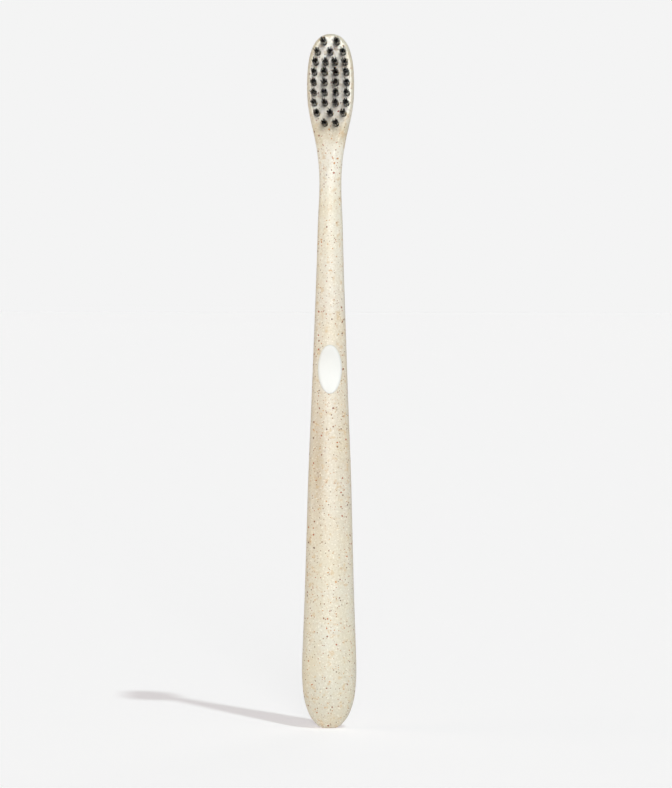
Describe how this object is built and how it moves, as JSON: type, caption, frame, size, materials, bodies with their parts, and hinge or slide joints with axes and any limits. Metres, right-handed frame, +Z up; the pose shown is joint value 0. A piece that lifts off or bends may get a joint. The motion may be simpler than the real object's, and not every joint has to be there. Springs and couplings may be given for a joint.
{
  "type": "manual toothbrush",
  "caption": "Slim oval-handled manual toothbrush with a soft oval thumb pad and a small flat head of dark tapered bristle tufts held by metal anchors.",
  "frame": {"origin": "centre of the small flat on the end of the handle, on which the brush stands upright", "axes": "+Z up the handle towards the tip of the head, +X to the right, bristles towards -Y"},
  "size_m": [0.015, 0.0182, 0.19],
  "materials": {
    "speckled_cream_plastic": "satin, speckled with fibre",
    "soft_white_pad": "matte",
    "anchor_wire": "drawn wire",
    "charcoal_bristle": "glossy filament"
  },
  "bodies": {
    "root": {"handle": "speckled_cream_plastic", "thumb_pad": "soft_white_pad", "anchors_row_1": "anchor_wire", "anchors_row_2": "anchor_wire", "anchors_row_3": "anchor_wire", "anchors_row_4": "anchor_wire", "anchors_row_5": "anchor_wire", "anchors_row_6": "anchor_wire", "anchors_row_7": "anchor_wire", "anchors_row_8": "anchor_wire", "anchors_row_9": "anchor_wire", "tuft_1_1": "charcoal_bristle", "tuft_1_2": "charcoal_bristle", "tuft_2_1": "charcoal_bristle", "tuft_2_2": "charcoal_bristle", "tuft_2_3": "charcoal_bristle", "tuft_3_1": "charcoal_bristle", "tuft_3_2": "charcoal_bristle", "tuft_3_3": "charcoal_bristle", "tuft_3_4": "charcoal_bristle", "tuft_4_1": "charcoal_bristle", "tuft_4_2": "charcoal_bristle", "tuft_4_3": "charcoal_bristle", "tuft_4_4": "charcoal_bristle", "tuft_5_1": "charcoal_bristle", "tuft_5_2": "charcoal_bristle", "tuft_5_3": "charcoal_bristle", "tuft_5_4": "charcoal_bristle", "tuft_6_1": "charcoal_bristle", "tuft_6_2": "charcoal_bristle", "tuft_6_3": "charcoal_bristle", "tuft_6_4": "charcoal_bristle", "tuft_7_1": "charcoal_bristle", "tuft_7_2": "charcoal_bristle", "tuft_7_3": "charcoal_bristle", "tuft_7_4": "charcoal_bristle", "tuft_8_1": "charcoal_bristle", "tuft_8_2": "charcoal_bristle", "tuft_8_3": "charcoal_bristle", "tuft_9_1": "charcoal_bristle", "tuft_9_2": "charcoal_bristle"}
  },
  "joints": []
}
